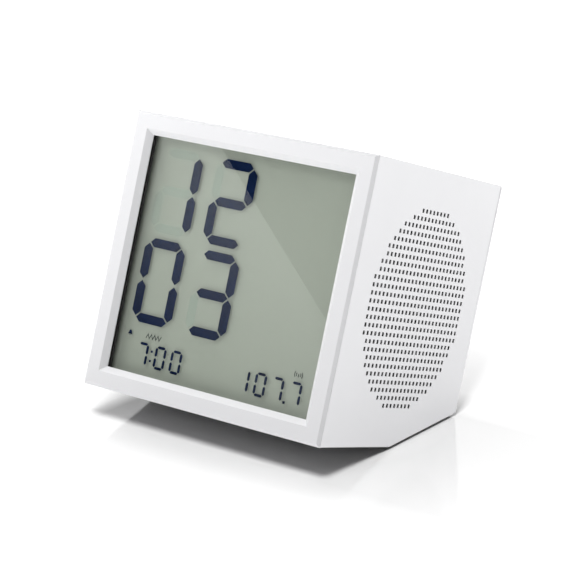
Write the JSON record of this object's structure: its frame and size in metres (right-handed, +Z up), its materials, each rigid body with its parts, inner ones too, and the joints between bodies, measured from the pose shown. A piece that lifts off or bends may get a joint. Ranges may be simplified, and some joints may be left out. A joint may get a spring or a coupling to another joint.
{
  "type": "clock radio",
  "caption": "Cube clock radio that leans back on a cut corner, with a full-front liquid crystal display, side sound holes, rear keys and a flush snooze bar.",
  "frame": {"origin": "on the table, under the middle of the radio's bounding box", "axes": "+Z up, -Y is the way the display faces, +X towards the sound-hole side"},
  "size_m": [0.1, 0.1224, 0.1106],
  "materials": {
    "case_white": "white moulded plastic, very fine satin texture",
    "key_white": "white moulded plastic, slightly smoother than the case",
    "black_plastic": "black moulded plastic",
    "black_rubber": "black rubber",
    "black_foam": "black closed-cell foam",
    "clear_sheet": "clear polished acrylic",
    "display_glass": "display glass with a grey-green polariser",
    "reflector": "grey-green reflective film",
    "light_guide": "clear acrylic light guide, white backed",
    "circuit_board": "green solder mask",
    "chip_black": "black moulding epoxy",
    "tin_plate": "bright tin-plated or zinc-plated steel",
    "spring_steel": "nickel-plated spring steel",
    "ferrite": "dark sintered ferrite",
    "cone_paper": "black pressed paper",
    "cell_jacket": "metal can in a plain blue jacket",
    "red_wire": "red wire insulation",
    "black_wire": "black wire insulation",
    "ribbon_grey": "grey flat ribbon"
  },
  "bodies": {
    "case": {"front_bezel": "case_white", "case_shell": "case_white", "grille_panel": "case_white", "rear_cover": "case_white", "base_pad": "black_rubber", "rear_screw_1": "tin_plate", "rear_screw_2": "tin_plate", "rear_screw_3": "tin_plate", "rear_screw_4": "tin_plate", "snooze_switch": "black_plastic", "keypad_mat": "black_rubber", "mode_switch_body": "tin_plate", "volume_pot": "tin_plate", "aerial_grommet": "black_rubber", "control_board": "circuit_board", "tuner_shield": "tin_plate", "audio_chip": "chip_black", "smoothing_capacitor": "cell_jacket", "display_lens": "clear_sheet", "display_gasket": "black_foam", "lcd_front_glass": "display_glass", "lcd_rear_glass": "display_glass", "lcd_carrier": "black_plastic", "lcd_reflector": "reflector", "backlight_panel": "light_guide", "backlight_led": "clear_sheet", "zebra_strip_top": "black_foam", "zebra_strip_bottom": "black_foam", "display_board": "circuit_board", "display_chip": "chip_black", "display_ribbon": "ribbon_grey", "speaker_basket": "tin_plate", "speaker_gasket": "black_foam", "speaker_surround": "black_rubber", "speaker_cone": "cone_paper", "speaker_dust_cap": "cone_paper", "speaker_top_plate": "tin_plate", "speaker_magnet": "ferrite", "speaker_yoke": "tin_plate", "speaker_screw_1": "tin_plate", "speaker_screw_2": "tin_plate", "speaker_screw_3": "tin_plate", "speaker_screw_4": "tin_plate", "speaker_lead_red": "red_wire", "speaker_lead_black": "black_wire", "battery_cell_1": "cell_jacket", "battery_cell_2": "cell_jacket", "battery_spring_1": "spring_steel", "battery_spring_2": "spring_steel", "battery_contact_1": "spring_steel", "battery_contact_2": "spring_steel"},
    "snooze": {"snooze_bar": "key_white"},
    "time_key": {"time_button": "key_white"},
    "alarm_key": {"alarm_button": "key_white"},
    "preset_key": {"preset_button": "key_white"},
    "tune_down_key": {"tune_down_button": "key_white"},
    "tune_up_key": {"tune_up_button": "key_white"},
    "mode_knob": {"mode_switch_knob": "black_plastic"},
    "volume_knob": {"volume_wheel": "black_plastic"},
    "door": {"battery_door": "case_white"}
  },
  "joints": [
    {"name": "snooze_press", "type": "slide", "parent": "case", "child": "snooze", "axis": [0, -0.2614, -0.9652], "range_m": [0, 0.0012], "stiffness_N_per_m": 600, "springref_m": -0.0008},
    {"name": "time_press", "type": "slide", "parent": "case", "child": "time_key", "axis": [0, -0.9652, 0.2614], "range_m": [0, 0.001], "stiffness_N_per_m": 300, "springref_m": -0.0005},
    {"name": "alarm_press", "type": "slide", "parent": "case", "child": "alarm_key", "axis": [0, -0.9652, 0.2614], "range_m": [0, 0.001], "stiffness_N_per_m": 300, "springref_m": -0.0005},
    {"name": "preset_press", "type": "slide", "parent": "case", "child": "preset_key", "axis": [0, -0.9652, 0.2614], "range_m": [0, 0.001], "stiffness_N_per_m": 300, "springref_m": -0.0005},
    {"name": "tune_down_press", "type": "slide", "parent": "case", "child": "tune_down_key", "axis": [0, -0.9652, 0.2614], "range_m": [0, 0.001], "stiffness_N_per_m": 300, "springref_m": -0.0005},
    {"name": "tune_up_press", "type": "slide", "parent": "case", "child": "tune_up_key", "axis": [0, -0.9652, 0.2614], "range_m": [0, 0.001], "stiffness_N_per_m": 300, "springref_m": -0.0005},
    {"name": "mode_switch_slide", "type": "slide", "parent": "case", "child": "mode_knob", "axis": [1, 0, 0], "range_m": [0, 0.008]},
    {"name": "volume_turn", "type": "hinge", "parent": "case", "child": "volume_knob", "pos_m": [0.038, 0.04816, 0.06344], "axis": [1, 0, 0], "range_deg": [-135, 135]},
    {"name": "battery_door_lift", "type": "slide", "parent": "case", "child": "door", "axis": [0, 0.9652, -0.2614], "range_m": [0, 0.02]}
  ]
}
